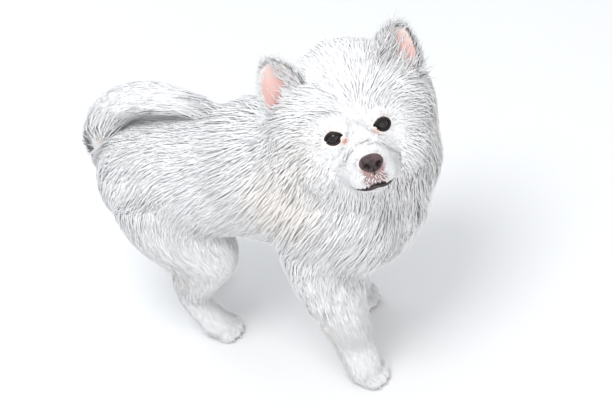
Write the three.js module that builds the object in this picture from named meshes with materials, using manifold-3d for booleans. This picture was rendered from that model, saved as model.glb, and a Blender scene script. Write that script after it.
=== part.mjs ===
// A standing Pomeranian with its head turned to its right, life size, in millimetres.
// +X is forward along the body, +Y is the dog's left and +Z is up, with the paws on z = 0.
import * as THREE from "three";
import { mergeVertices } from "three/addons/utils/BufferGeometryUtils.js";
import Module from "manifold-3d";

// Driving dimensions
const GAP = 0.3; // between touching parts
const EYE_R = 9;
const EYE_SPACING = 42;
const EYE_WIDTH = 13; // the opening between the lids
const EYE_HEIGHT = 9;
const NOSE_WIDTH = 19;
const MOUTH_Z = -37.5; // the closed lips, in the head's frame
const JAW_BACK = 7;
const PAW_TOP = 31;
const CORE_SHARE = 0.5; // how much of the coat's depth lies outside the core
const ROOT_SINK = 4; // how far a lock's root lies inside the core
const CROWN = 3.5; // how far a lock arches up half way along
const SEED = 64;

// Where the head is carried, and how it is turned
const FACE = [148.8, -20.8, 273.2]; // the point midway between the eyes
const HEAD_YAW = THREE.MathUtils.degToRad(-50.9);
const HEAD_PITCH = THREE.MathUtils.degToRad(27.9);
const HEAD_ROLL = THREE.MathUtils.degToRad(-1.8);

// Body forms, out to the tips of the coat. A station is [x, y, z, half the width, half the depth].

// Torso, from the rump to the breast
const TORSO = [
  [-134, 0, 172, 8, 8],
  [-126, 0, 172, 36, 36],
  [-105, 0, 172, 53, 53],
  [-76, 0, 174, 58, 57],
  [-42, 0, 180, 57, 59],
  [-8, 0, 187, 57, 61],
  [25, 0, 194, 58, 63],
  [60, 0, 192, 61, 66],
  [95, 0, 182, 65, 70],
  [128, 0, 174, 61, 61],
  [152, 0, 175, 45, 46],
  [168, 0, 176, 14, 18],
];

// Neck and ruff, from the shoulders to the back of the head
const NECK = [
  [45, 0, 196, 26, 26],
  [68, 2, 210, 56, 52],
  [96, 8, 224, 70, 66],
  [120, 16, 238, 78, 68],
  [136, 22, 262, 72, 56],
  [142, 22, 286, 38, 32],
];

// Head in its own frame: x forward along the muzzle, y left, z up, from midway between the eyes
const HEAD = [
  [-92, 0, 4, 12, 10],
  [-82, 0, 6, 38, 38],
  [-62, 0, 8, 58, 56],
  [-44, 0, 8, 63, 58],
  [-28, 0, 3, 60, 52],
  [-16, 0, -4, 51, 44],
  [-8, 0, -10, 40, 35],
  [0, 0, -19, 28, 27],
  [10, 0, -25, 21, 22],
  [22, 0, -28, 17.5, 19],
  [30, 0, -28.5, 14, 15],
  [35, 0, -27, 8, 9],
];
// The bib at the front of the ruff, and the fluff between each ear and the crown
const BIB = { middle: [128, 26, 206], size: [58, 60, 56] };
const EAR_FLUFF = {
  root: [-40, 25, 32],
  apart: [7, 4, -3],
  reach: [-4, 4, 34],
  locks: 3,
  wide: 15,
  thick: 7,
};

// Ears: where the left one stands, its half width at each level, and how thick its skin is each way
const EAR_ROOT = [-36, 42, 21.6];
const EAR_TIP = [-25, 53, 70];
const EAR_LEVELS = [0, 0.35, 0.65, 0.85, 0.95, 1];
const EAR_HALVES = [16, 16.5, 13, 8.5, 5.5, 2.5];
const EAR_THICK = 1.5;

// Tail, from its root over the back to its tip
const TAIL = [
  [-116, 0, 178, 12, 12],
  [-131, 1, 186, 16, 16],
  [-137, 2, 201, 17, 17],
  [-132, 3, 218, 17, 16.5],
  [-121, 4, 235, 17, 15.5],
  [-105, 5, 248, 17, 14],
  [-86, 6, 256, 17, 12.5],
  [-66, 7, 258, 16, 11.5],
  [-49, 7, 257, 14, 10],
  [-31, 7, 256, 10, 7],
  [-14, 8, 256, 3, 3],
];

// The coat's locks on each form: its depth, the locks' length, width and thickness, how many go round,
// the first and last row as a share of the form's path, how many rows, and how far a lock turns down.
const LOCKS = {
  torso: { depth: 18, long: 62, wide: 45, thick: 10, round: 7, from: 0.9, to: 0.17, rows: 5, droop: 0.25 },
  neck: { depth: 26, long: 60, wide: 50, thick: 12, round: 8, from: 0.82, to: 0.45, rows: 2, droop: 0.1 },
  head: { depth: 11, long: 42, wide: 38, thick: 9, round: 8, from: 0.54, to: 0.3, rows: 2, droop: 0.1 },
  foreleg: { depth: 12, long: 46, wide: 40, thick: 9, round: 4, from: 0.18, to: 0.32, rows: 2, droop: 0 },
  hindleg: { depth: 12, long: 50, wide: 44, thick: 10, round: 5, from: 0.12, to: 0.32, rows: 2, droop: 0 },
  bib: { depth: 26, long: 56, wide: 42, thick: 11, round: 5, from: 0.4, to: -0.3, rows: 2, droop: 0 },
};

// Paws: the pad's and a toe's half sizes, how the toes fan out, and their claws
const PAD = [15, 14, 13];
const TOE = [9, 5.6, 8];
const TOES = 4;
const TOE_SPREAD = 10;
const TOE_REACH = 5;
const CLAW_LONG = 7;
const CLAW_R = 1.8;
const CLAW_TURN = 0.5;

// Legs, each from inside the body down to the foot, and the place of each paw
const LEGS = {
  foreleg_right: {
    stations: [
      [92, -36, 165, 34, 34],
      [94, -40, 135, 33, 34],
      [97, -44, 105, 28, 30],
      [103, -47, 72, 20, 22],
      [109, -50, 40, 15, 16],
      [113, -51, 20, 14, 15],
      [115, -52, 8, 13, 13],
    ],
    paw: [119, -52],
    knee: 74,
  },
  foreleg_left: {
    stations: [
      [80, 38, 165, 34, 34],
      [77, 38, 135, 31, 33],
      [73, 38, 100, 26, 29],
      [69, 37, 68, 20, 22],
      [66, 36, 38, 15, 16],
      [66, 36, 20, 14, 15],
      [67, 36, 8, 13, 13],
    ],
    paw: [72, 36],
    knee: 74,
  },
  hindleg_right: {
    stations: [
      [-72, -28, 180, 36, 46],
      [-63, -33, 150, 35, 50],
      [-43, -36, 120, 28, 44],
      [-48, -37, 92, 21, 27],
      [-62, -37, 68, 15, 17],
      [-66, -37, 50, 12, 13.5],
      [-59, -36, 28, 12, 13],
      [-50, -35, 10, 13, 13],
    ],
    paw: [-44, -34],
    knee: 86,
  },
  hindleg_left: {
    stations: [
      [-85, 26, 180, 36, 44],
      [-84, 31, 150, 32, 42],
      [-86, 33, 120, 26, 34],
      [-100, 33, 92, 19, 23],
      [-116, 33, 68, 14, 16],
      [-120, 33, 50, 12, 13.5],
      [-114, 33, 28, 12, 13],
      [-106, 33, 10, 13, 13],
    ],
    paw: [-100, 33],
    knee: 86,
  },
};

// Vectors and solids

const V = (x, y, z) => new THREE.Vector3(x, y, z);
const SIDE = V(0, 1, 0);
const FORWARD = V(1, 0, 0);
const core = (coat) => -coat.depth * CORE_SHARE;

const wasm = await Module();
wasm.setup();

// A closed mesh as a solid, turned to face outwards.
function solid(geometry) {
  const bare = new THREE.BufferGeometry();
  bare.setAttribute("position", geometry.getAttribute("position"));
  bare.setIndex(geometry.index);
  const merged = mergeVertices(bare, 1e-4);
  const triVerts = new Uint32Array(merged.index.array);
  const vertProperties = merged.attributes.position.array;
  const build = () => new wasm.Manifold(new wasm.Mesh({ numProp: 3, vertProperties, triVerts }));
  const made = build();
  if (made.volume() > 0) return made;
  for (let i = 0; i < triVerts.length; i += 3)
    [triVerts[i], triVerts[i + 1]] = [triVerts[i + 1], triVerts[i]];
  return build();
}

const join = (solids) => solids.reduce((whole, piece) => whole.add(piece));

// The largest closed surface of a cut solid.
const largest = (made) => made.decompose().reduce((a, b) => (b.volume() > a.volume() ? b : a));

// A closed skin over rings of points, each end drawn to the middle of its ring.
function skin(rings) {
  const middle = (ring) =>
    ring.reduce((sum, p) => sum.add(p), V(0, 0, 0)).divideScalar(ring.length);
  const sides = rings[0].length;
  const points = [...rings.flat(), middle(rings[0]), middle(rings.at(-1))];
  const first = sides * rings.length;
  const last = first - sides;
  const faces = [];
  for (let i = 0; i < rings.length - 1; i++)
    for (let j = 0; j < sides; j++) {
      const a = i * sides + j;
      const b = i * sides + ((j + 1) % sides);
      faces.push(a, b, a + sides, b, b + sides, a + sides);
    }
  for (let j = 0; j < sides; j++) {
    const next = (j + 1) % sides;
    faces.push(first, next, j, first + 1, last + j, last + next);
  }
  return new THREE.BufferGeometry().setFromPoints(points).setIndex(faces);
}

// Reads a list of stations as a smooth path: at(t) gives the middle, the frame and the sizes there.
// Its rings stand square to the path, or all to one heading where that is given.
function smooth(stations, heading) {
  const path = new THREE.CatmullRomCurve3(stations.map((s) => V(s[0], s[1], s[2])));
  const sizes = new THREE.CatmullRomCurve3(stations.map((s) => V(s[3], s[4], 0)));
  return (t) => {
    const along = heading ?? path.getTangent(t);
    const across = SIDE.clone().addScaledVector(along, -along.dot(SIDE)).normalize();
    const size = sizes.getPoint(t);
    return { middle: path.getPoint(t), along, across, deep: along.clone().cross(across), size };
  };
}

// The point at an angle round a station, with the form made larger or smaller by grow.
function roundPoint(at, turn, grow) {
  const least = 0.5;
  return at.middle
    .clone()
    .addScaledVector(at.across, Math.max(at.size.x + grow, least) * Math.cos(turn))
    .addScaledVector(at.deep, Math.max(at.size.y + grow, least) * Math.sin(turn));
}

// Random numbers between -1 and 1 that are the same on every run.
let seed = SEED;
function draw() {
  seed = (seed * 16807) % 2147483647;
  return (2 * seed) / 2147483647 - 1;
}

// One flat, tapered lock: path(s) gives its middle and the coat's outward direction from root to tip.
const LOCK_STEPS = [0, 0.5, 0.82, 1];
const LOCK_WIDTHS = [0.7, 1, 0.66, 0.04];
const LOCK_THICKS = [0.8, 1, 0.75, 0.08];
function lock(path, wide, thick) {
  const rings = LOCK_STEPS.map((s, i) => {
    const { middle, out } = path(s);
    const along = path(Math.min(s + 0.05, 1.05)).middle.sub(path(s - 0.05).middle).normalize();
    const across = along.clone().cross(out).normalize();
    const face = across.clone().cross(along);
    const w = (wide / 2) * LOCK_WIDTHS[i];
    const t = (thick / 2) * LOCK_THICKS[i];
    return [[w, -t / 4], [0, t], [-w, -t / 4]].map(([a, f]) =>
      middle.clone().addScaledVector(across, a).addScaledVector(face, f),
    );
  });
  return skin(rings);
}

// How deep a lock's middle lies below the tips' surface, from its root to its tip.
function sunk(s, { depth, thick }) {
  const left = Math.max(1 - s, 0);
  const root = depth * CORE_SHARE + ROOT_SINK;
  return CROWN * Math.sin(Math.PI * left) - root * left ** 2.2 - (thick / 8) * left;
}

// Rows of locks that lie along a form, towards the start of its path (flow -1) or its end (flow 1).
function coatOn(stations, coat, flow, keep = () => true, heading) {
  const at = smooth(stations, heading);
  const length = new THREE.CatmullRomCurve3(stations.map((p) => V(p[0], p[1], p[2]))).getLength();
  const made = [];
  for (let row = 0; row < coat.rows; row++)
    for (let j = 0; j < coat.round; j++) {
      const share = coat.rows > 1 ? row / (coat.rows - 1) : 0;
      const t = coat.from + (coat.to - coat.from) * share + 0.012 * draw();
      const turn = (2 * Math.PI * (j + 0.5 * (row % 2) + 0.08 * draw())) / coat.round;
      const long = (coat.long * (1 + 0.15 * draw())) / length;
      const curl = 0.07 * draw() - coat.droop * Math.cos(turn);
      const grow = 1.5 * draw();
      const path = (s) => {
        const here = at(Math.min(Math.max(t + flow * long * s, 0), 1));
        const angle = turn + curl * s;
        const middle = roundPoint(here, angle, sunk(s, coat) + grow * s);
        return { middle, out: middle.clone().sub(here.middle).normalize() };
      };
      const size = 1 + 0.12 * draw();
      if (keep(path(0).middle, turn)) made.push(lock(path, coat.wide * size, coat.thick * size));
    }
  return made;
}

// The same stations, made smaller or larger where share(i) says.
const sized = (stations, grow, share) =>
  stations.map(([x, y, z, wide, deep], i) => {
    const by = grow * share(i / (stations.length - 1));
    return [x, y, z, Math.max(wide + by, 2), Math.max(deep + by, 2)];
  });

// A round-ended form along its stations.
function limb(stations, sides, steps, grow = 0, heading) {
  const at = smooth(stations, heading);
  const rings = [];
  for (let i = 0; i <= steps; i++) {
    const here = at(i / steps);
    const turns = Array.from({ length: sides }, (_, j) => (2 * Math.PI * (j + 0.5)) / sides);
    rings.push(turns.map((turn) => roundPoint(here, turn, grow)));
  }
  return skin(rings);
}

// An ellipsoid.
const ball = (x, y, z, rx, ry, rz, round = 12, tall = 8) =>
  new THREE.SphereGeometry(1, round, tall).scale(rx, ry, rz).translate(x, y, z);

// A closed hoop through a loop of points.
function hoop(points, radius, sides) {
  const loop = points.length;
  const middle = points.reduce((sum, p) => sum.add(p), V(0, 0, 0)).divideScalar(loop);
  const position = [];
  const faces = [];
  points.forEach((p, i) => {
    const along = points[(i + 1) % loop].clone().sub(points[(i + loop - 1) % loop]).normalize();
    const out = p.clone().sub(middle);
    out.addScaledVector(along, -out.dot(along)).normalize();
    const front = along.clone().cross(out);
    for (let j = 0; j < sides; j++) {
      const turn = (2 * Math.PI * j) / sides;
      const q = p.clone().addScaledVector(out, radius * Math.cos(turn));
      position.push(q.addScaledVector(front, radius * Math.sin(turn)));
      const a = i * sides + j;
      const b = i * sides + ((j + 1) % sides);
      const step = ((i + 1) % loop) * sides - i * sides;
      faces.push(a, b, a + step, b, b + step, a + step);
    }
  });
  return new THREE.BufferGeometry().setFromPoints(position).setIndex(faces);
}

// A box that bounds one part's share of the body: its middle, its sizes, its turn in radians,
// and the frame that it stands in.
function cell([x, y, z], [long, wide, high], turned = [0, 0, 0], frame = new THREE.Matrix4()) {
  const turn = new THREE.Matrix4().makeRotationFromEuler(new THREE.Euler(...turned));
  const place = (grow) => {
    const box = new THREE.BoxGeometry(long + grow, wide + grow, high + grow);
    return solid(box.applyMatrix4(turn).translate(x, y, z).applyMatrix4(frame));
  };
  return { inside: place(0), around: place(2 * GAP) };
}

// Takes a cell's share out of a body: [the share, what is left].
const share = (body, part) => [largest(body.intersect(part.inside)), body.subtract(part.around)];

// The head's frame, placed on the body
const headFrame = new THREE.Matrix4();
{
  const forward = V(Math.cos(HEAD_YAW), Math.sin(HEAD_YAW), 0)
    .multiplyScalar(Math.cos(HEAD_PITCH))
    .setZ(Math.sin(HEAD_PITCH));
  const level = V(-Math.sin(HEAD_YAW), Math.cos(HEAD_YAW), 0);
  const left = level
    .clone()
    .multiplyScalar(Math.cos(HEAD_ROLL))
    .addScaledVector(forward.clone().cross(level), Math.sin(HEAD_ROLL));
  headFrame.makeBasis(forward, left, forward.clone().cross(left)).setPosition(...FACE);
}
const onHead = (geometry) => solid(geometry.applyMatrix4(headFrame));

// Eyes, and the lids that ring them
const EYE_TURN = 0.3; // outwards, from straight ahead
const LID_R = 1.6;
const eyeAxis = (side) => V(Math.cos(EYE_TURN), side * Math.sin(EYE_TURN), 0);
const eyeMiddle = (side) => V(0, (side * EYE_SPACING) / 2, 0).addScaledVector(eyeAxis(side), -EYE_R);
function eyeBall(side, grow) {
  const c = eyeMiddle(side);
  const r = EYE_R + grow;
  return onHead(ball(c.x, c.y, c.z, r, r, r, 12, 8));
}
// A closed ring of points on a ball a little larger than the eye, round the opening.
function lidLine(side, spread, reach, count) {
  return Array.from({ length: count }, (_, i) => {
    const turn = (2 * Math.PI * i) / count;
    const y = (EYE_WIDTH / 2 + spread) * Math.cos(turn);
    const z = (EYE_HEIGHT / 2 + spread) * Math.sin(turn);
    return V(Math.sqrt(reach * reach - y * y - z * z), y, z)
      .applyAxisAngle(V(0, 0, 1), side * EYE_TURN)
      .add(eyeMiddle(side));
  });
}
const lids = (side) => onHead(hoop(lidLine(side, 1.4, EYE_R + 0.4, 10), LID_R, 4));
// The opening: a cone from the eye's middle out through the lids.
function opening(side) {
  const near = lidLine(side, 0, EYE_R - 1, 10);
  const far = near.map((p) => p.clone().sub(eyeMiddle(side)).multiplyScalar(3).add(eyeMiddle(side)));
  return onHead(skin([near, far]));
}

// Nose leather, with its nostrils and the cleft between them
const NOSE = [32.5, 0, -20.5];
function nose(grow) {
  const wide = NOSE_WIDTH / 2 + grow;
  const leather = onHead(ball(NOSE[0], NOSE[1], NOSE[2], 7 + grow, wide, 7 + grow, 10, 7));
  if (grow) return leather;
  const nostrils = [-1, 1].flatMap((side) => [
    ball(NOSE[0] + 6.4, side * 4.4, NOSE[2] - 0.6, 3.4, 2.2, 2, 6, 5),
    ball(NOSE[0] + 4.2, side * 6.6, NOSE[2] - 1.6, 3.4, 2.4, 1.1, 6, 5),
  ]);
  const cleft = new THREE.BoxGeometry(2.2, 0.8, 9).translate(NOSE[0] + 7, 0, NOSE[2] - 3.5);
  return [...nostrils, cleft].reduce((left, cut) => left.subtract(onHead(cut)), leather);
}

// Lips: a raised edge round the front of the muzzle, above and below the line of the mouth
const LIP_R = 2;
function lip(z, out) {
  const curve = new THREE.CatmullRomCurve3([
    V(8, 17 + out, z + 2),
    V(20, 14 + out, z + 0.5),
    V(28 + out, 7, z),
    V(30 + out, 0, z - 0.5),
    V(28 + out, -7, z),
    V(20, -14 - out, z + 0.5),
    V(8, -17 - out, z + 2),
  ]);
  const section = new THREE.Shape().absellipse(0, 0, LIP_R, LIP_R, 0, 2 * Math.PI);
  const settings = { steps: 6, curveSegments: 2, bevelEnabled: false, extrudePath: curve };
  return onHead(new THREE.ExtrudeGeometry(section, settings));
}

// Ear: a thin cup, open to the front and rounded at its tip
function ear(side, grow) {
  const root = V(...EAR_ROOT).multiply(V(1, side, 1));
  const tip = V(...EAR_TIP).multiply(V(1, side, 1));
  const up = tip.clone().sub(root).normalize();
  const front = V(0.86, side * 0.5, 0.1);
  front.addScaledVector(up, -front.dot(up)).normalize();
  const out = up.clone().cross(front).multiplyScalar(side);
  const arcs = 6;
  const last = EAR_LEVELS.length - 1;
  const rings = EAR_LEVELS.map((level, i) => {
    const middle = root.clone().lerp(tip, level);
    middle.addScaledVector(up, i === last ? grow : i === 0 ? -grow : 0);
    const half = EAR_HALVES[i];
    const inset = Math.min(EAR_THICK, half * 0.4) + grow;
    const sag = half * 0.55;
    const edge = (step, offset) => {
      const turn = (step / (arcs - 1) - 0.5) * Math.PI * (1 + 0.08 * grow);
      const reach = half + offset;
      return middle
        .clone()
        .addScaledVector(out, reach * Math.sin(turn))
        .addScaledVector(front, sag - (sag + offset) * Math.cos(turn));
    };
    const outer = Array.from({ length: arcs }, (_, s) => edge(s, EAR_THICK + grow));
    const inner = Array.from({ length: arcs }, (_, s) => edge(arcs - 1 - s, -inset));
    return [...outer, ...inner];
  });
  return onHead(skin(rings));
}

// Paws: a pad, four toes and their claws, flat below
function paw([x, y], forward) {
  const pieces = [solid(ball(x - 5, y, PAD[2] - 2, ...PAD, 8, 5))];
  for (let i = 0; i < TOES; i++) {
    const spread = (2 * i) / (TOES - 1) - 1;
    const toeX = x + forward + TOE_REACH * (1 - Math.abs(spread));
    const toeY = y + spread * TOE_SPREAD;
    pieces.push(solid(ball(toeX, toeY, TOE[2] - 0.5, ...TOE, 6, 4)));
    const claw = new THREE.ConeGeometry(CLAW_R, CLAW_LONG, 4).rotateZ(-Math.PI / 2 - CLAW_TURN);
    pieces.push(solid(claw.translate(toeX + TOE[0] + 0.5, toeY + spread, 4)));
  }
  return join(pieces);
}

// The ruff's bib: locks that hang down over the front of the chest
function bibLocks({ middle: [x, y, z], size }) {
  const coat = LOCKS.bib;
  const made = [];
  for (let row = 0; row < coat.rows; row++)
    for (let j = 0; j < coat.round; j++) {
      const rise = coat.from + ((coat.to - coat.from) * row) / (coat.rows - 1) + 0.08 * draw();
      const round = -1.25 + (2.9 * (j + 0.5 * (row % 2))) / (coat.round - 1) + 0.1 * draw();
      const path = (s) => {
        const up = rise - (coat.long / size[2]) * s;
        const out = V(Math.cos(up) * Math.cos(round), Math.cos(up) * Math.sin(round), Math.sin(up));
        const grow = sunk(s, coat);
        const reach = V(size[0] + grow, size[1] + grow, size[2] + grow);
        return { middle: out.clone().multiply(reach).add(V(x, y, z)), out };
      };
      made.push(lock(path, coat.wide, coat.thick));
    }
  return made;
}

// The fluff that stands up between each ear and the crown
function earFluff(side) {
  const { root, apart, reach, locks, wide, thick } = EAR_FLUFF;
  const mirror = V(1, side, 1);
  const path = (i) => (s) => ({
    middle: V(...root).addScaledVector(V(...apart), i).addScaledVector(V(...reach), s).multiply(mirror),
    out: V(0.5, -side, 0.2).normalize(),
  });
  return Array.from({ length: locks }, (_, i) => onHead(lock(path(i), wide, thick)));
}

// The face and the lower legs are covered by short hair alone, so their cores are full size there.
const behindFace = (t) => Math.min(1, Math.max(0, 2.4 - 4 * t));
const headCore = () => limb(sized(HEAD, core(LOCKS.head), behindFace), 12, 16, 0, FORWARD);
const aboveKnee = (t) => (t < 0.5 ? 1 : 0);
const legCore = (stations, coat) => limb(sized(stations, core(coat), aboveKnee), 8, 9);

// The whole body, one solid, before it is parted
const aboveFloor = solid(new THREE.BoxGeometry(900, 900, 900).translate(0, 0, 450));
const bibCore = BIB.size.map((size) => size + core(LOCKS.bib));
const FACE_FROM = -18;
const clearOfFace = (p) => p.x < FACE_FROM;
// The trunk's own locks stop where the thighs' and the ruff's locks lie over them.
const inOpenCoat = (p) => !(p.x < -45 && p.z < 160) && !(p.x > 70 && p.z > 190);
let body = join([
  solid(limb(TORSO, 10, 9, core(LOCKS.torso))),
  ...coatOn(TORSO, LOCKS.torso, -1, inOpenCoat).map(solid),
  solid(limb(NECK, 10, 6, core(LOCKS.neck))),
  ...coatOn(NECK, LOCKS.neck, -1).map(solid),
  solid(ball(...BIB.middle, ...bibCore, 10, 6)),
  ...bibLocks(BIB).map(solid),
  onHead(headCore()),
  ...coatOn(HEAD, LOCKS.head, -1, clearOfFace, FORWARD).map(onHead),
  ...[-1, 1].flatMap(earFluff),
  ...[-1, 1].map(lids),
  lip(MOUTH_Z + LIP_R + 0.2, 0.5),
  lip(MOUTH_Z - LIP_R - 0.2, -1),
  ...Object.entries(LEGS).flatMap(([name, { stations, paw: place }]) => {
    const coat = LOCKS[name.split("_")[0]];
    const side = Math.sign(place[1]);
    const outside = (p, turn) => side * Math.cos(turn) > -0.4;
    return [solid(legCore(stations, coat)), ...coatOn(stations, coat, 1, outside).map(solid), paw(place, 4)];
  }),
]).intersect(aboveFloor);
// The tail, whose hair lies close as one silky band, or with grow the hollow that it lies in.
const tailBody = (grow) => solid(limb(TAIL, 12, 22, grow));
const tail = tailBody(0);

// What sits in the body in a socket of its own
body = body.subtract(tailBody(GAP));
for (const side of [-1, 1])
  for (const hollow of [eyeBall(side, GAP), opening(side), ear(side, GAP)]) body = body.subtract(hollow);
body = body.subtract(nose(GAP));

const nodes = {};

// Lower jaw, below the line of the mouth
const JAW_SIZE = [60, 60, 40];
const jawMiddle = [JAW_BACK + JAW_SIZE[0] / 2, 0, MOUTH_Z - JAW_SIZE[2] / 2];
[nodes.jaw, body] = share(body, cell(jawMiddle, JAW_SIZE, [0, 0, 0], headFrame));

// Legs: the paws, the lower legs and the upper legs, each cut level
const CELL_WIDE = 66;
const CELL_LONG = 100;
const UPPER = {
  tilt: 0.35,
  apart: 48,
  wide: 82,
  fore: { long: 92, tall: 76, ahead: 4 },
  hind: { long: 138, tall: 96, ahead: -2 },
};
for (const [name, leg] of Object.entries(LEGS)) {
  const [x, y] = leg.paw;
  const side = Math.sign(y);
  const { long, tall, ahead } = name.startsWith("hind") ? UPPER.hind : UPPER.fore;
  const lowTop = leg.knee - 2 * GAP;
  const low = [PAW_TOP + 2 * GAP, leg.knee];
  const pawCell = cell([x, y, PAW_TOP / 2 - 5], [CELL_LONG, CELL_WIDE, PAW_TOP + 10]);
  [nodes[name + "_paw"], body] = share(body, pawCell);
  const lowCell = cell([x - 12, y, (low[0] + low[1]) / 2], [CELL_LONG, CELL_WIDE, low[1] - low[0]]);
  [nodes[name + "_lower"], body] = share(body, lowCell);
  const upper = cell(
    [leg.stations[1][0] + ahead, side * UPPER.apart, leg.knee + 2 * GAP + tall / 2],
    [long, UPPER.wide, tall],
    [side * UPPER.tilt, 0, 0],
  );
  const below = cell([x, y, lowTop / 2], [2 * CELL_LONG, CELL_WIDE, leg.knee + 1]);
  nodes[name + "_upper"] = largest(body.subtract(below.inside).intersect(upper.inside));
  body = body.subtract(upper.around);
}

// Head, neck and the three lengths of the torso
const HEAD_CUT = { middle: [160, 0, 309], size: [230, 300, 150], tilt: 0.3 };
const NECK_CUT = { middle: [150, 0, 260], size: [230, 300, 140], tilt: 0.5 };
const CHEST_FROM = 20;
const LOIN_FROM = -54;
for (const [name, cut] of Object.entries({ head: HEAD_CUT, neck: NECK_CUT }))
  [nodes[name], body] = share(body, cell(cut.middle, cut.size, [0, cut.tilt, 0]));
const chestLong = 180;
[nodes.torso_chest, body] = share(body, cell([CHEST_FROM + chestLong / 2, 0, 150], [chestLong, 300, 300]));
const loinLong = CHEST_FROM - LOIN_FROM - 2 * GAP;
[nodes.torso_loin, body] = share(body, cell([(CHEST_FROM + LOIN_FROM) / 2, 0, 150], [loinLong, 300, 300]));
nodes.torso_rump = largest(body);

// Tail, in three lengths: the stem, the bow over it and the tip along the back
const TIP_FROM = -60;
const BOW_FROM = 228;
let stem = tail;
[nodes.tail_tip, stem] = share(stem, cell([TIP_FROM + 50, 0, 250], [100, 200, 150]));
[nodes.tail_bow, stem] = share(stem, cell([-110, 0, BOW_FROM + 50], [300, 200, 100]));
nodes.tail_root = largest(stem);

for (const [side, word] of [[-1, "right"], [1, "left"]]) {
  nodes["eye_" + word] = eyeBall(side, 0);
  nodes["ear_" + word] = ear(side, 0);
}
nodes.nose = nose(0);

// Finishes
const FINISH = {
  coat: new THREE.MeshStandardMaterial({ color: 0xf2f0ee, roughness: 0.9 }),
  ear: new THREE.MeshStandardMaterial({ color: 0xeec6bd, roughness: 0.8 }),
  eye: new THREE.MeshStandardMaterial({ color: 0x0d0a09, roughness: 0.08 }),
  nose: new THREE.MeshStandardMaterial({ color: 0x4a3538, roughness: 0.45 }),
};
const finish = (name) => FINISH[name.split("_")[0]] ?? FINISH.coat;

// The dog, with the middle of its floor area at the origin
const dog = new THREE.Group();
for (const [name, made] of Object.entries(nodes)) {
  const { vertProperties, triVerts } = made.getMesh();
  const geometry = new THREE.BufferGeometry();
  geometry.setAttribute("position", new THREE.BufferAttribute(vertProperties, 3));
  geometry.setIndex(new THREE.BufferAttribute(triVerts, 1));
  const mesh = new THREE.Mesh(geometry, finish(name));
  mesh.name = name;
  dog.add(mesh);
}
const middle = new THREE.Box3().setFromObject(dog).getCenter(V(0, 0, 0));
dog.position.set(-middle.x, -middle.y, 0);
export default dog;
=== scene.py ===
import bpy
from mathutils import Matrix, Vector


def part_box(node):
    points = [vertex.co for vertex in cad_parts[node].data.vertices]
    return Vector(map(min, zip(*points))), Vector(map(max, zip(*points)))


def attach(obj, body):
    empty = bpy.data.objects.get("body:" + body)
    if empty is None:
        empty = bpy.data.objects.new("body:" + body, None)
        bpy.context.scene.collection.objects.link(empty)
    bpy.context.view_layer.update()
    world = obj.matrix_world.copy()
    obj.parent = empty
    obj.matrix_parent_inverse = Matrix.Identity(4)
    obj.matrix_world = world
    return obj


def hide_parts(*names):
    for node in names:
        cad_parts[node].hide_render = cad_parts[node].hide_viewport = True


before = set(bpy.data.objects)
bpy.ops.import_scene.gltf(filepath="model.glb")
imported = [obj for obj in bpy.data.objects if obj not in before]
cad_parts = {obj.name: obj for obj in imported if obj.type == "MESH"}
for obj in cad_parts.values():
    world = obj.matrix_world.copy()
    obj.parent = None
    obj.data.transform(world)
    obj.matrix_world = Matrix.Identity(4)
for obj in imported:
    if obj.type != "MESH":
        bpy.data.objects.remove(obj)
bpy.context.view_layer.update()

# Camera, light and floor: the dog stands on a plain pale floor under soft studio light.
# It is seen from its front right, well above the eye line, with the picture's roll.
import math
import bpy
import numpy as np
from mathutils import Matrix, Vector

MM = 0.001
PICTURE_WIDTH = 612
PICTURE_HEIGHT = 419
SENSOR = 36.0
CAMERA_AZIMUTH = math.radians(39.0)
CAMERA_ELEVATION = math.radians(40.1)
CAMERA_ROLL = math.radians(18.3)
CAMERA_DISTANCE = 1288.0
PIXELS_PER_MM = 1.09
AXIS_PIXEL = (251.0, 219.0)


def unit(v):
    """Vectors at a length of 1."""
    v = np.asarray(v, float)
    return v / np.maximum(np.linalg.norm(v, axis=-1, keepdims=True), 1e-9)


# The head's own frame: x along the muzzle, y to the dog's left, z up, from between the eyes
FACE = np.array([148.8, -20.8, 273.2])
HEAD_YAW = math.radians(-50.9)
HEAD_PITCH = math.radians(27.9)
HEAD_ROLL = math.radians(-1.8)
head_x = np.array([math.cos(HEAD_YAW) * math.cos(HEAD_PITCH), math.sin(HEAD_YAW) * math.cos(HEAD_PITCH),
                   math.sin(HEAD_PITCH)])
level = np.array([-math.sin(HEAD_YAW), math.cos(HEAD_YAW), 0.0])
head_y = level * math.cos(HEAD_ROLL) + np.cross(head_x, level) * math.sin(HEAD_ROLL)
HEAD_AXES = np.stack([head_x, head_y, np.cross(head_x, head_y)])


def on_head(points):
    """Points in the head's frame, as points of the body, in millimetres."""
    return np.asarray(points, float) @ HEAD_AXES + FACE


def in_head(points):
    """Points of the body, in millimetres, in the head's frame."""
    return (np.asarray(points, float) - FACE) @ HEAD_AXES.T


# The frame stands a little aside from the body's own origin: an eye tells by how much
EYE_R = 9.0
EYE_SPACING = 42.0
EYE_TURN = 0.3


def eye_axis(side):
    """The way an eye looks, in the head's frame."""
    return np.array([math.cos(EYE_TURN), side * math.sin(EYE_TURN), 0.0])


def eye_middle(side):
    """The middle of an eyeball, in the head's frame."""
    return np.array([0.0, side * EYE_SPACING / 2, 0.0]) - EYE_R * eye_axis(side)


def eye_across(side):
    """The level way across an eye, in the head's frame."""
    return unit(np.cross([0, 0, 1.0], eye_axis(side)))


low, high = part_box("eye_right")
SHIFT = (np.array(low) + np.array(high)) / 2 - on_head(eye_middle(-1)) * MM
SHIFT[2] = 0.0


def place(points):
    """Millimetres on the body to metres in the frame."""
    return np.asarray(points, float) * MM + SHIFT


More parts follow.
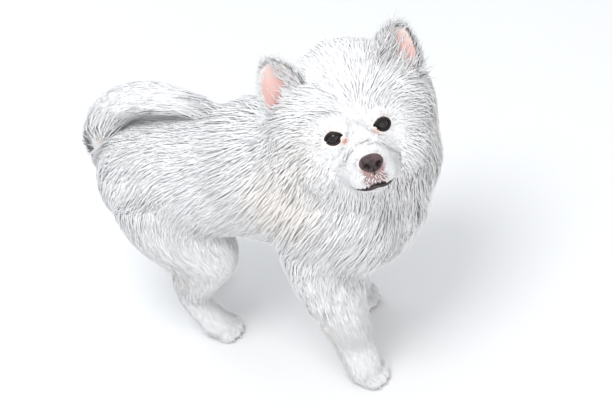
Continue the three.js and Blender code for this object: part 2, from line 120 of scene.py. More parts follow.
back = np.array([math.sin(CAMERA_AZIMUTH) * math.cos(CAMERA_ELEVATION),
                 -math.cos(CAMERA_AZIMUTH) * math.cos(CAMERA_ELEVATION), math.sin(CAMERA_ELEVATION)])
right = np.array([math.cos(CAMERA_AZIMUTH), math.sin(CAMERA_AZIMUTH), 0.0])
up = np.cross(back, right)
turned_right = right * math.cos(CAMERA_ROLL) - up * math.sin(CAMERA_ROLL)
turned_up = up * math.cos(CAMERA_ROLL) + right * math.sin(CAMERA_ROLL)
focal = PIXELS_PER_MM * CAMERA_DISTANCE
aim = unit(-back * focal + turned_right * (PICTURE_WIDTH / 2 - AXIS_PIXEL[0])
           + turned_up * (AXIS_PIXEL[1] - PICTURE_HEIGHT / 2))
side_way = unit(turned_right - aim * (turned_right @ aim))
camera = bpy.data.objects.new("camera", bpy.data.cameras.new("camera"))
bpy.context.scene.collection.objects.link(camera)
camera.data.sensor_width = SENSOR
camera.data.lens = focal / PICTURE_WIDTH * SENSOR
camera_spot = place(np.array([0, 0, 130.0]) + back * CAMERA_DISTANCE)
axes = np.stack([side_way, np.cross(-aim, side_way), -aim], axis=1)
camera.matrix_world = Matrix.Translation(Vector(camera_spot)) @ Matrix(axes.tolist()).to_4x4()
bpy.context.scene.camera = camera


def area_light(name, spot, size, power, colour):
    """A soft round lamp that looks at the dog's middle."""
    lamp = bpy.data.objects.new(name, bpy.data.lights.new(name, "AREA"))
    lamp.data.shape = "DISK"
    lamp.data.size = size
    lamp.data.energy = power
    lamp.data.color = colour
    lamp.location = spot
    lamp.rotation_euler = (Vector((0, 0, 0.16)) - Vector(spot)).to_track_quat("-Z", "Y").to_euler()
    bpy.context.scene.collection.objects.link(lamp)


area_light("key_light", (0.12, -0.52, 1.5), 0.66, 11.0, (0.98, 0.99, 1.0))
area_light("fill_light", (1.5, -0.9, 0.7), 1.8, 4.0, (1.0, 0.97, 0.94))
area_light("rim_light", (-1.3, 0.9, 1.1), 1.4, 6.0, (0.86, 0.93, 1.0))
world = bpy.data.worlds.new("studio")
world.use_nodes = True
world.node_tree.nodes["Background"].inputs["Color"].default_value = (0.95, 0.97, 1.0, 1)
world.node_tree.nodes["Background"].inputs["Strength"].default_value = 0.80
bpy.context.scene.world = world
bpy.context.scene.view_settings.view_transform = "Standard"


def new_material(name, base, roughness, **sockets):
    """A node material, its constants on the shader's own sockets."""
    material = bpy.data.materials.new(name)
    material.use_nodes = True
    shader = material.node_tree.nodes["Principled BSDF"]
    shader.inputs["Base Color"].default_value = (*base, 1)
    shader.inputs["Roughness"].default_value = roughness
    for socket, value in sockets.items():
        shader.inputs[socket.replace("_", " ")].default_value = value
    return material, material.node_tree, shader


def noise_colour(tree, shader, scale, first, second):
    """A base colour that drifts between two close tones."""
    spot = tree.nodes.new("ShaderNodeTexCoord")
    texture = tree.nodes.new("ShaderNodeTexNoise")
    texture.inputs["Scale"].default_value = scale
    ramp = tree.nodes.new("ShaderNodeValToRGB")
    ramp.color_ramp.elements[0].position = 0.35
    ramp.color_ramp.elements[1].position = 0.65
    ramp.color_ramp.elements[0].color = (*first, 1)
    ramp.color_ramp.elements[1].color = (*second, 1)
    tree.links.new(spot.outputs["Object"], texture.inputs["Vector"])
    tree.links.new(texture.outputs["Fac"], ramp.inputs["Fac"])
    tree.links.new(ramp.outputs["Color"], shader.inputs["Base Color"])
    return ramp


def add_mesh(name, points, faces, smooth=True):
    """A mesh object from points in metres and a list or array of faces."""
    mesh = bpy.data.meshes.new(name)
    mesh.from_pydata([tuple(p) for p in points], [], [tuple(int(i) for i in f) for f in faces])
    mesh.validate()
    if smooth:
        mesh.polygons.foreach_set("use_smooth", [True] * len(mesh.polygons))
    piece = bpy.data.objects.new(name, mesh)
    bpy.context.scene.collection.objects.link(piece)
    return piece


floor_half = 4.0
floor_corners = [(-floor_half, -floor_half, 0), (floor_half, -floor_half, 0),
                 (floor_half, floor_half, 0), (-floor_half, floor_half, 0)]
floor = add_mesh("floor", floor_corners, [(0, 1, 2, 3)], False)
floor_paint, floor_tree, floor_shader = new_material("pale_floor", (0.86, 0.86, 0.86), 0.7)
noise_colour(floor_tree, floor_shader, 1.5, (0.85, 0.85, 0.85), (0.87, 0.87, 0.87))
floor.data.materials.append(floor_paint)

# Skin: one hide over the whole body, thin skin over flesh, pink under a white coat.
# It follows the body's forms at half the coat's depth, drawn together into one smooth surface.
TORSO = [(-134, 0, 172, 8, 8), (-126, 0, 172, 36, 36), (-105, 0, 172, 53, 53), (-76, 0, 174, 58, 57),
         (-42, 0, 180, 57, 59), (-8, 0, 187, 57, 61), (25, 0, 194, 58, 63), (60, 0, 192, 61, 66),
         (95, 0, 182, 65, 70), (128, 0, 174, 61, 61), (152, 0, 175, 45, 46), (168, 0, 176, 14, 18)]
NECK = [(45, 0, 196, 26, 26), (68, 2, 210, 56, 52), (96, 8, 224, 70, 66), (120, 16, 238, 78, 68),
        (136, 22, 262, 72, 56), (142, 22, 286, 38, 32)]
HEAD = [(-92, 0, 4, 12, 10), (-82, 0, 6, 38, 38), (-62, 0, 8, 58, 56), (-44, 0, 8, 63, 58),
        (-28, 0, 3, 60, 52), (-16, 0, -4, 51, 44), (-8, 0, -10, 40, 35), (0, 0, -19, 28, 27),
        (10, 0, -25, 21, 22), (22, 0, -28, 17.5, 19), (30, 0, -28.5, 14, 15), (35, 0, -27, 8, 9)]
BIB = ((128, 26, 206), (58, 60, 56))
TAIL = [(-116, 0, 178, 12, 12), (-131, 1, 186, 16, 16), (-137, 2, 201, 17, 17), (-132, 3, 218, 17, 16.5),
        (-121, 4, 235, 17, 15.5), (-105, 5, 248, 17, 14), (-86, 6, 256, 17, 12.5), (-66, 7, 258, 16, 11.5),
        (-49, 7, 257, 14, 10), (-31, 7, 256, 10, 7), (-14, 8, 256, 3, 3)]
LEGS = {
    "foreleg_right": [(92, -36, 165, 34, 34), (94, -40, 135, 33, 34), (97, -44, 105, 28, 30),
                      (103, -47, 72, 20, 22), (109, -50, 40, 15, 16), (113, -51, 20, 14, 15),
                      (115, -52, 8, 13, 13)],
    "foreleg_left": [(80, 38, 165, 34, 34), (77, 38, 135, 31, 33), (73, 38, 100, 26, 29),
                     (69, 37, 68, 20, 22), (66, 36, 38, 15, 16), (66, 36, 20, 14, 15), (67, 36, 8, 13, 13)],
    "hindleg_right": [(-72, -28, 180, 36, 46), (-63, -33, 150, 35, 50), (-43, -36, 120, 28, 44),
                      (-48, -37, 92, 21, 27), (-62, -37, 68, 15, 17), (-66, -37, 50, 12, 13.5),
                      (-59, -36, 28, 12, 13), (-50, -35, 10, 13, 13)],
    "hindleg_left": [(-85, 26, 180, 36, 44), (-84, 31, 150, 32, 42), (-86, 33, 120, 26, 34),
                     (-100, 33, 92, 19, 23), (-116, 33, 68, 14, 16), (-120, 33, 50, 12, 13.5),
                     (-114, 33, 28, 12, 13), (-106, 33, 10, 13, 13)],
}
PAWS = {"foreleg_right": (119, -52), "foreleg_left": (72, 36), "hindleg_right": (-44, -34),
        "hindleg_left": (-100, 33)}
CORE = {"torso": 9.0, "neck": 13.0, "head": 6.0, "tail": 4.5, "foreleg": 6.0, "hindleg": 6.0}
VOXEL = 1.7


def spline(points, count):
    """Points along a smooth curve through the given ones, with its direction at each."""
    points = np.asarray(points, float)
    padded = np.vstack([2 * points[0] - points[1], points, 2 * points[-1] - points[-2]])
    t = np.linspace(0, len(points) - 1, count)
    k = np.minimum(t.astype(int), len(points) - 2)
    u = (t - k)[:, None]
    a, b, c, d = (padded[k + i] for i in range(4))
    spots = 0.5 * (2 * b + (c - a) * u + (2 * a - 5 * b + 4 * c - d) * u ** 2
                   + (3 * b - a - 3 * c + d) * u ** 3)
    return spots, t / (len(points) - 1)


def sections(stations, steps, shrink, heading=None):
    """The middle, direction, cross directions and sizes at steps along a form's stations."""
    values, t = spline(stations, steps)
    middle, sizes = values[:, :3], values[:, 3:]
    along = unit(np.gradient(middle, axis=0)) if heading is None else np.tile(heading, (steps, 1))
    across = unit(np.array([0, 1.0, 0]) - along * along[:, 1:2])
    sizes = np.maximum(sizes - np.array([shrink(s) for s in t])[:, None], 1.0)
    return middle, along, across, np.cross(along, across), sizes


def stacked_faces(rings, sides):
    """Faces that join rings of points one to the next, and close both ends on a middle point each."""
    faces = []
    for i in range(rings - 1):
        for j in range(sides):
            n = (j + 1) % sides
            faces.append((i * sides + j, i * sides + n, (i + 1) * sides + n, (i + 1) * sides + j))
    last = (rings - 1) * sides
    for j in range(sides):
        n = (j + 1) % sides
        faces.append((rings * sides, n, j))
        faces.append((rings * sides + 1, last + j, last + n))
    return faces


def loft(stations, steps, sides, shrink, heading=None):
    """A closed round-ended form along its stations, made thinner by shrink(t)."""
    middle, along, across, deep, sizes = sections(stations, steps, shrink, heading)
    turn = 2 * math.pi * (np.arange(sides) + 0.5) / sides
    ring = (middle[:, None] + across[:, None] * (sizes[:, 0:1] * np.cos(turn))[..., None]
            + deep[:, None] * (sizes[:, 1:2] * np.sin(turn))[..., None])
    return np.vstack([ring.reshape(-1, 3), middle[0], middle[-1]]), stacked_faces(steps, sides)


def ball(middle, size, rings=16, sides=24):
    """A closed ellipsoid."""
    rise = np.linspace(-math.pi / 2, math.pi / 2, rings + 2)[1:-1]
    turn = 2 * math.pi * np.arange(sides) / sides
    shell = np.stack([np.outer(np.cos(rise), np.cos(turn)), np.outer(np.cos(rise), np.sin(turn)),
                      np.outer(np.sin(rise), np.ones(sides))], axis=-1).reshape(-1, 3)
    shell = np.vstack([shell, [0, 0, -1], [0, 0, 1]])
    return shell * np.asarray(size, float) + np.asarray(middle, float), stacked_faces(rings, sides)


# Ears: thin upright cups, open to the front and rounded at the tip
EAR_ROOT = np.array([-36.0, 42.0, 21.6])
EAR_TIP = np.array([-25.0, 53.0, 70.0])
EAR_SAG = 0.45


def ear_frame(side):
    """An ear's root and tip in the head's frame, and its ways up, to the front and outwards."""
    root, tip = EAR_ROOT * (1, side, 1), EAR_TIP * (1, side, 1)
    upward = unit(tip - root)
    front = np.array([0.97, side * 0.12, 0.1])
    front = unit(front - upward * (front @ upward))
    return root, tip, upward, front, np.cross(upward, front) * side


def ear_shell(side, thick):
    """A crescent-section cup: rings of an outer arc and back along an inner one."""
    root, tip, upward, front, outward = ear_frame(side)
    levels = [0, 0.15, 0.3, 0.45, 0.6, 0.72, 0.82, 0.9, 0.96, 1.0]
    halves = [16, 16.8, 17.2, 17.0, 16.0, 14.4, 12.2, 9.6, 6.8, 3.2]
    arcs = 13
    rings = []
    for level, half in zip(levels, halves):
        middle = root + (tip - root) * level
        turn = np.linspace(-math.pi / 2, math.pi / 2, arcs)[:, None]
        sag = half * EAR_SAG

        def edge(offset):
            return (middle + outward * (half + offset) * np.sin(turn)
                    + front * (sag - (sag + offset) * np.cos(turn)))
        rings.append(np.vstack([edge(thick), edge(-min(thick, half * 0.4))[::-1]]))
    sides = 2 * arcs
    points = np.vstack(rings + [rings[0].mean(0), rings[-1].mean(0)])
    return on_head(points), stacked_faces(len(rings), sides)


def head_shrink(t):
    """How deep the skin lies under the head's coat: least on the muzzle."""
    return CORE["head"] * min(1, max(0.35, 2.2 - 3.2 * t))


def leg_shrink(name):
    """How deep the skin lies under a leg's coat: least on the foot."""
    thin = CORE[name.split("_")[0]]
    return lambda t: thin * min(1, max(0.25, 2.1 - 2.6 * t))


flesh = []
flesh.append(loft(TORSO, 60, 48, lambda t: CORE["torso"]))
flesh.append(loft(NECK, 40, 48, lambda t: CORE["neck"]))
flesh.append(ball(BIB[0], np.array(BIB[1]) - CORE["neck"]))
head_points, head_faces = loft(HEAD, 80, 64, head_shrink, np.array([1.0, 0, 0]))
flesh.append((on_head(head_points), head_faces))
flesh.append(loft(TAIL, 60, 24, lambda t: CORE["tail"]))
for side in (-1, 1):
    flesh.append(ear_shell(side, 1.6))
for name, stations in LEGS.items():
    flesh.append(loft(stations, 50, 28, leg_shrink(name)))
    x, y = PAWS[name]
    flesh.append(ball((x - 5, y, 10.5), (14, 12.5, 11)))
    for i in range(4):
        spread = (i - 1.5) / 1.5
        reach = 4 + 5 * (1 - abs(spread))
        flesh.append(ball((x + reach, y + spread * 9.6, 7.2), (8.4, 4.9, 7.0), 10, 14))
for side in (-1, 1):
    for middle, size in (((-18, side * 31, -22), (18, 16, 18)), ((18, side * 8.2, -32), (13, 9.5, 9.5))):
        ball_points, ball_faces = ball(middle, size)
        flesh.append((on_head(ball_points), ball_faces))

points, faces, first = [], [], 0
for part_points, part_faces in flesh:
    points.append(place(part_points))
    faces += [tuple(i + first for i in f) for f in part_faces]
    first += len(part_points)
raw = add_mesh("raw_skin", np.vstack(points), faces)
remesh = raw.modifiers.new("draw_together", "REMESH")
remesh.mode = "VOXEL"
remesh.voxel_size = VOXEL * MM
soften = raw.modifiers.new("soften", "SMOOTH")
soften.factor = 0.5
soften.iterations = 4
evaluated = raw.evaluated_get(bpy.context.evaluated_depsgraph_get())
skin_mesh = bpy.data.meshes.new_from_object(evaluated)
bpy.data.objects.remove(raw)


def mesh_arrays(mesh):
    """A mesh's points in millimetres on the body, its points' normals and its triangles."""
    count = len(mesh.vertices)
    spots = np.empty(count * 3)
    mesh.vertices.foreach_get("co", spots)
    normals = np.empty(count * 3)
    mesh.vertices.foreach_get("normal", normals)
    mesh.calc_loop_triangles()
    triangles = np.empty(len(mesh.loop_triangles) * 3, int)
    mesh.loop_triangles.foreach_get("vertices", triangles)
    return (spots.reshape(-1, 3) - SHIFT) / MM, normals.reshape(-1, 3), triangles.reshape(-1, 3)


skin_points = mesh_arrays(skin_mesh)[0]

# The lids' opening: inside it the skin is pressed back behind the eye, outside it the skin is
# drawn over the ball
LID_WIDE = 6.9
LID_HIGH = 4.5
LID_THICK = 1.1
LID_OPENING = 1.2
LID_ZONE = 9
head_points = in_head(skin_points)
for side in (-1, 1):
    axis = eye_axis(side)
    level_way = eye_across(side)
    local = head_points - eye_middle(side)
    forward = local @ axis
    sideways = local @ level_way
    rise = local[:, 2]
    reach = np.linalg.norm(local, axis=1)
    near = (forward > 0) & (reach < EYE_R + LID_ZONE)
    inside = (sideways / LID_WIDE) ** 2 + (rise / LID_HIGH) ** 2
    away = unit(local)
    lid_reach = EYE_R + LID_THICK
    hidden = near & (inside < LID_OPENING)
    head_points[hidden] = eye_middle(side) + away[hidden] * (EYE_R - 2.5)
    covered = near & (inside >= LID_OPENING) & (reach < lid_reach)
    head_points[covered] = eye_middle(side) + away[covered] * lid_reach
    proud = near & (inside >= LID_OPENING) & (reach >= lid_reach)
    settle = np.clip((np.sqrt(inside[proud]) - 1.1) / 1.6, 0, 1)[:, None]
    proud_reach = lid_reach + (reach[proud, None] - lid_reach) * settle
    head_points[proud] = eye_middle(side) + away[proud] * proud_reach
skin_points = on_head(head_points)
skin_points[:, 2] = np.maximum(skin_points[:, 2], 0.05)
skin_mesh.vertices.foreach_set("co", place(skin_points).ravel())
skin_mesh.update()
skin = bpy.data.objects.new("skin", skin_mesh)
bpy.context.scene.collection.objects.link(skin)
skin_mesh.polygons.foreach_set("use_smooth", [True] * len(skin_mesh.polygons))
skin_points, skin_normals, skin_triangles = mesh_arrays(skin_mesh)

CREAM = (0.86, 0.77, 0.66)
PINK = (0.80, 0.50, 0.45)


def mask_ball(tree, middle, radius, soft):
    """1 inside a ball of the object's own space, falling to 0 over soft metres."""
    spot = tree.nodes.new("ShaderNodeTexCoord")
    distance = tree.nodes.new("ShaderNodeVectorMath")
    distance.operation = "DISTANCE"
    distance.inputs[1].default_value = tuple(place(middle))
    ramp = tree.nodes.new("ShaderNodeMapRange")
    ramp.inputs["From Min"].default_value = radius * MM
    ramp.inputs["From Max"].default_value = (radius + soft) * MM
    ramp.inputs["To Min"].default_value = 1.0
    ramp.inputs["To Max"].default_value = 0.0
    tree.links.new(spot.outputs["Object"], distance.inputs[0])
    tree.links.new(distance.outputs["Value"], ramp.inputs["Value"])
    return ramp.outputs["Result"]


def tint(tree, colour_socket, mask, colour, strength):
    """Mixes a colour in where a mask is 1, and gives the new colour."""
    mix = tree.nodes.new("ShaderNodeMix")
    mix.data_type = "RGBA"
    amount = tree.nodes.new("ShaderNodeMath")
    amount.operation = "MULTIPLY"
    amount.inputs[1].default_value = strength
    tree.links.new(mask, amount.inputs[0])
    tree.links.new(amount.outputs[0], mix.inputs[0])
    tree.links.new(colour_socket, mix.inputs[6])
    mix.inputs[7].default_value = (*colour, 1)
    return mix.outputs[2]


# The marks that skin and coat share: (middle, radius, fade, colour, strength), in millimetres
TEAR = (0.66, 0.30, 0.22)
MARKS = []
for side in (-1, 1):
    MARKS.append((on_head((5.0, side * 12.6, -4.0)), 2.6, 3.4, TEAR, 0.8))
    MARKS.append((on_head((6.5, side * 12.0, -9.5)), 1.5, 4.0, TEAR, 0.3))
for name, stations in LEGS.items():
    x, y, z = stations[3][:3]
    MARKS.append(((x - 16, y, z + 4), 8, 26, CREAM, 0.35))
MARKS.append(((82, -60, 215), 14, 34, CREAM, 0.42))
MARKS.append(((104, -60, 270), 8, 26, CREAM, 0.30))
MARKS.append(((160, 60, 225), 12, 50, CREAM, 0.22))


def marked(tree, colour_socket):
    """The colour with all the shared marks mixed in."""
    for middle, radius, fade, colour, strength in MARKS:
        mask = mask_ball(tree, middle, radius, fade)
        colour_socket = tint(tree, colour_socket, mask, colour, strength)
    return colour_socket


def noise_bump(tree, shader, scale, strength, distance, kind="ShaderNodeTexNoise"):
    """Fine relief on a shader from a noise in the object's own space."""
    spot = tree.nodes.new("ShaderNodeTexCoord")
    texture = tree.nodes.new(kind)
    texture.inputs["Scale"].default_value = scale
    bump = tree.nodes.new("ShaderNodeBump")
    bump.inputs["Strength"].default_value = strength
    bump.inputs["Distance"].default_value = distance
    out = "Distance" if kind == "ShaderNodeTexVoronoi" else 0
    tree.links.new(spot.outputs["Object"], texture.inputs["Vector"])
    tree.links.new(texture.outputs[out], bump.inputs["Height"])
    tree.links.new(bump.outputs["Normal"], shader.inputs["Normal"])
    return texture


def finish_piece(piece, slot_name, material, *nodes):
    """Paints a piece, fixes it to the body and hides the CAD nodes it stands for."""
    piece.data.materials.clear()
    piece.data.materials.append(material)
    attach(piece, "root")
    if nodes:
        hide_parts(*nodes)


skin_paint, skin_tree, skin_shader = new_material("thin_skin", PINK, 0.55, Subsurface_Weight=0.15,
                                                  Subsurface_Scale=0.004)
ramp = noise_colour(skin_tree, skin_shader, 90.0, (0.84, 0.74, 0.70), (0.88, 0.81, 0.78))
colour = marked(skin_tree, ramp.outputs["Color"])
for side in (-1, 1):
    inside_ear = EAR_ROOT * (1, side, 1) * 0.55 + EAR_TIP * (1, side, 1) * 0.45 + np.array([6, 0, 0])
    mask = mask_ball(skin_tree, on_head(inside_ear), 14, 16)
    colour = tint(skin_tree, colour, mask, (0.85, 0.50, 0.45), 0.85)
    low_ear = EAR_ROOT * (1, side, 1) * 0.85 + EAR_TIP * (1, side, 1) * 0.15 + np.array([5, 0, 0])
    mask = mask_ball(skin_tree, on_head(low_ear), 8, 12)
    colour = tint(skin_tree, colour, mask, (0.62, 0.24, 0.22), 0.7)
mask = mask_ball(skin_tree, on_head((34, 0, -31.5)), 9, 6)
colour = tint(skin_tree, colour, mask, (0.34, 0.20, 0.20), 0.92)
skin_tree.links.new(colour, skin_shader.inputs["Base Color"])
noise_bump(skin_tree, skin_shader, 900.0, 0.25, 0.0006)
flesh_nodes = ["head", "neck", "jaw", "torso_chest", "torso_loin", "torso_rump", "tail_root", "tail_bow",
               "tail_tip", "ear_left", "ear_right"]
flesh_nodes += [leg + "_" + part for leg in LEGS for part in ("upper", "lower", "paw")]
finish_piece(skin, "skin", skin_paint, *flesh_nodes)

# Eyes: wet, almost black balls with a dark brown iris under a clear, bulging cornea.
# Each is turned a little outwards and sits in its lids.
eye_paint, eye_tree, eye_shader = new_material("dark_eye", (0.006, 0.004, 0.004), 0.03,
                                               Specular_IOR_Level=0.55)
noise_colour(eye_tree, eye_shader, 260.0, (0.004, 0.003, 0.003), (0.012, 0.006, 0.004))
for side, word in ((-1, "right"), (1, "left")):
    points, faces = ball((0, 0, 0), (1, 1, 1), 40, 56)
    off_axis = points[:, 2:3] ** 2 + points[:, 1:2] ** 2
    bulge = 1 + 0.05 * np.exp(-(off_axis / 0.25)) * (points[:, 0:1] > 0)
    axis = eye_axis(side)
    level_way = eye_across(side)
    turned = (points * bulge * (EYE_R - 0.2)) @ np.stack([axis, level_way, [0, 0, 1.0]])
    eye = add_mesh("eyeball_" + word, place(on_head(turned + eye_middle(side))), faces)
    finish_piece(eye, "eye", eye_paint, "eye_" + word)

# Lid rims: the bare dark edge of each lid, a thin roll of skin that follows the almond of the opening.
# The inner corner runs on a little towards the nose.
rim_paint, rim_tree, rim_shader = new_material("lid_rim", (0.015, 0.01, 0.01), 0.4,
                                               Specular_IOR_Level=0.3)
noise_colour(rim_tree, rim_shader, 300.0, (0.008, 0.006, 0.006), (0.022, 0.014, 0.013))
RIM_STEPS = 64
RIM_SIDES = 10


def tube(path, radii, closed, flat=1.0, facing=None):
    """A tube of varying radius along points, pressed flat along the way it faces."""
    path = np.asarray(path, float)
    count = len(path)
    if closed:
        along = unit(np.roll(path, -1, 0) - np.roll(path, 1, 0))
    else:
        along = unit(np.gradient(path, axis=0))
    facing = np.asarray(facing, float) if facing is not None else np.array([0, 0, 1.0])
    face = unit(facing - along * (along * facing).sum(1, keepdims=True))
    across = np.cross(along, face)
    turn = 2 * math.pi * np.arange(RIM_SIDES) / RIM_SIDES
    ring = (path[:, None] + across[:, None] * (radii[:, None] * np.cos(turn))[..., None]
            + face[:, None] * (flat * radii[:, None] * np.sin(turn))[..., None]).reshape(-1, 3)
    faces = []
    for i in range(count if closed else count - 1):
        for j in range(RIM_SIDES):
            n = (j + 1) % RIM_SIDES
            k = (i + 1) % count
            faces.append((i * RIM_SIDES + j, i * RIM_SIDES + n, k * RIM_SIDES + n, k * RIM_SIDES + j))
    if not closed:
        faces.append(tuple(range(RIM_SIDES))[::-1])
        faces.append(tuple((count - 1) * RIM_SIDES + j for j in range(RIM_SIDES)))
    return ring, faces


for side, word in ((-1, "right"), (1, "left")):
    axis = eye_axis(side)
    level_way = eye_across(side) * side
    turn = 2 * math.pi * np.arange(RIM_STEPS) / RIM_STEPS
    inner = np.maximum(-np.cos(turn), 0) ** 6
    wide = (LID_WIDE + 0.1) * np.cos(turn) - 1.2 * inner
    high = (LID_HIGH + 0.1) * np.sin(turn) * (1 - 0.25 * np.abs(np.cos(turn)) ** 3) - 0.9 * inner
    depth = np.sqrt(np.maximum((EYE_R + 0.25) ** 2 - wide ** 2 - high ** 2, 4))
    path = (eye_middle(side) + depth[:, None] * axis + wide[:, None] * level_way
            + high[:, None] * [0, 0, 1.0])
    radii = 1.15 + 0.25 * np.sin(turn) ** 2
    points, faces = tube(path, radii, True, 1.0, axis)
    rim = add_mesh("lid_rim_" + word, place(on_head(points)), faces)
    finish_piece(rim, "skin", rim_paint)

# Nose: a firm pad of dark, pebbled, damp skin with two comma-shaped nostrils and a cleft.
# It sits at the end of the muzzle, over the lips, and is one with the skin round it.
NOSE = np.array([32.5, 0.0, -20.5])
NOSE_HALF = np.array([7.2, 9.8, 7.4])
points, faces = ball((0, 0, 0), (1, 1, 1), 90, 140)
nose_shape = np.sign(points) * np.abs(points) ** 0.9
local = nose_shape * NOSE_HALF
local[:, 1] *= 1 - 0.22 * np.clip(-local[:, 2] / 7.4, 0, 1)
local[:, 0] += 0.8 * np.clip(local[:, 2] / 7.4, -1, 1)
front = points[:, 0] > 0
press = np.zeros(len(points))
for side in (-1, 1):
    for y, z, r, depth in ((4.6, -1.0, 2.3, 4.6), (6.2, -1.8, 1.6, 3.2), (7.6, -2.0, 1.1, 2.0)):
        gap = (local[:, 1] - side * y) ** 2 + (local[:, 2] - z) ** 2
        press = np.maximum(press, depth * np.exp(-gap / r ** 2))
cleft = 1.3 * np.exp(-(local[:, 1] / 0.6) ** 2) * np.clip((1.0 - local[:, 2]) / 3, 0, 1)
local[:, 0] -= np.where(front, np.maximum(press, cleft), 0)
nose = add_mesh("nose_pad", place(on_head(local + NOSE)), faces)
nose_paint, nose_tree, nose_shader = new_material("nose_leather", (0.06, 0.035, 0.04), 0.36,
                                                  Specular_IOR_Level=0.4)
ramp = noise_colour(nose_tree, nose_shader, 160.0, (0.03, 0.018, 0.02), (0.12, 0.072, 0.078))
colour = ramp.outputs["Color"]
# Painted shade: each nostril hollow is painted near black where shade falls inside it
for side in (-1, 1):
    nostril_shade_middle = on_head(NOSE + [5.0, side * 4.8, -1.2])
    colour = tint(nose_tree, colour, mask_ball(nose_tree, nostril_shade_middle, 1.8, 1.8), (0.004, 0.003, 0.003), 1.0)
nose_tree.links.new(colour, nose_shader.inputs["Base Color"])
noise_bump(nose_tree, nose_shader, 950.0, 0.5, 0.0005, "ShaderNodeTexVoronoi")
finish_piece(nose, "nose_leather", nose_paint, "nose")

# Lips: the dark, moist edges of the upper and lower lip, closed in a shallow smile.
# They meet under the cleft and run back along the muzzle.
LIP_LINE = [(6, 18.0, -35.5), (14, 16.6, -37.2), (21, 14.0, -38.2), (28, 9.4, -38.6), (31.6, 4.4, -38.2),
            (32.6, 0.0, -37.4)]
lip_path, lip_t = spline(np.vstack([LIP_LINE, [(x, -y, z) for x, y, z in LIP_LINE[-2::-1]]]), 90)
lip_paint, lip_tree, lip_shader = new_material("dark_lip", (0.03, 0.018, 0.018), 0.36)
noise_colour(lip_tree, lip_shader, 260.0, (0.012, 0.008, 0.008), (0.075, 0.042, 0.042))
for word, drop, setback, thick in (("upper", 0.3, 0.0, 1.2), ("lower", -2.0, -0.8, 1.9)):
    path = lip_path + np.array([setback, 0, drop])
    radii = thick * np.sin(np.pi * np.clip(lip_t, 0.03, 0.97)) ** 1.2
    points, faces = tube(path, radii, False, 0.8, (0, 0, 1.0))
    lip = add_mesh("lip_" + word, place(on_head(points)), faces)
    finish_piece(lip, "skin", lip_paint)
cleft_path, cleft_t = spline([(37.2, 0, -26.0), (35.0, 0, -29.5), (33.2, 0, -33.5), (31.6, 0, -36.8)], 24)
points, faces = tube(cleft_path, 0.55 + 0.1 * np.sin(np.pi * cleft_t), False)
cleft_line = add_mesh("lip_cleft", place(on_head(points)), faces)
finish_piece(cleft_line, "skin", lip_paint)

# Claws: short, blunt, pale horn, curved down, mostly hidden in the hair of the toes.
# Each paw has four, one from the tip of each toe.
claw_paint, claw_tree, claw_shader = new_material("claw_horn", (0.62, 0.54, 0.47), 0.35)
noise_colour(claw_tree, claw_shader, 400.0, (0.62, 0.55, 0.50), (0.78, 0.72, 0.66))
CLAW_LONG = 4.6
for name, (x, y) in PAWS.items():
    points, faces, first = [], [], 0
    for i in range(4):
        spread = (i - 1.5) / 1.5
        reach = 4 + 5 * (1 - abs(spread))
        s = np.linspace(0, 1, 12)
        start = np.array([x + reach + 5.2, y + spread * 9.8, 5.2])
        path = start + np.stack([CLAW_LONG * s, spread * 0.6 * s, -4.4 * s ** 1.7], axis=1)
        ring, ring_faces = tube(path, 1.5 * (1 - s) ** 0.6 + 0.12, False)
        points.append(ring)
        faces += [tuple(k + first for k in f) for f in ring_faces]
        first += len(ring)
    claws = add_mesh("claws_" + name, place(np.vstack(points)), faces)
    finish_piece(claws, "claw", claw_paint)

# Coat: long soft white hair in fine tapered tufts, rooted in the skin and lying along the body.
# It is very short on the muzzle, plush on the body and long in the ruff, the breeches and the tail.
from mathutils.kdtree import KDTree

COAT_SEED = 28
rng = np.random.default_rng(COAT_SEED)
REACH = 5.0
FORM_STEPS = 60


def nearness(points, stations, shrink, heading=None):
    """How far points lie from a form's surface, where along and round it, and its direction there."""
    middle, along, across, deep, sizes = sections(stations, FORM_STEPS, shrink, heading)
    gap = ((points[:, None, :] - middle[None]) ** 2).sum(2)
    gap = np.sqrt(gap) - sizes.mean(1)
    near = gap.argmin(1)
    offset = points - middle[near]
    a = (offset * across[near]).sum(1)
    b = (offset * deep[near]).sum(1)
    c = (offset * along[near]).sum(1)
    away = np.sqrt((a / sizes[near, 0]) ** 2 + (b / sizes[near, 1]) ** 2 + (c / sizes[near].mean(1)) ** 2)
    distance = (away - 1) * sizes[near].mean(1)
    return distance, near / (FORM_STEPS - 1), np.arctan2(b, a), along[near]


count = len(skin_points)
DOWN = np.array([0, 0, -1.0])
REAR = np.array([-1.0, 0, 0])
regions = []


def region(name, distance, t, turn, flow, long, high, wide, dense):
    """One form's say in the coat: the lie, length, height, width and density of its hair."""
    full = np.ones(count)
    weight = np.exp(-np.maximum(distance, 0) / REACH)
    regions.append({"name": name, "weight": weight, "t": t, "turn": turn, "flow": unit(flow),
                    "long": long * full, "high": high * full, "wide": wide * full, "dense": dense * full})


def ramp_to(x, low, high):
    """0 below low, 1 above high, smooth between them."""
    s = np.clip((x - low) / (high - low), 0, 1)
    return s * s * (3 - 2 * s)


x = skin_points[:, 0]
z = skin_points[:, 2]
distance, t, turn, _ = nearness(skin_points, TORSO, lambda s: CORE["torso"])
flank = np.abs(np.cos(turn))
behind = ramp_to(-x, 92, 128)
below = ramp_to(-np.sin(turn), 0.3, 0.9)
flow = REAR * (1 - 0.75 * behind)[:, None] + DOWN * (0.75 * flank + 1.2 * behind)[:, None]
long = 34 - 12 * below + 10 * behind
high = 9.5 - 4 * below + 1.5 * behind
region("torso", distance, t, turn, flow, long, high, 1.15, 0.8)

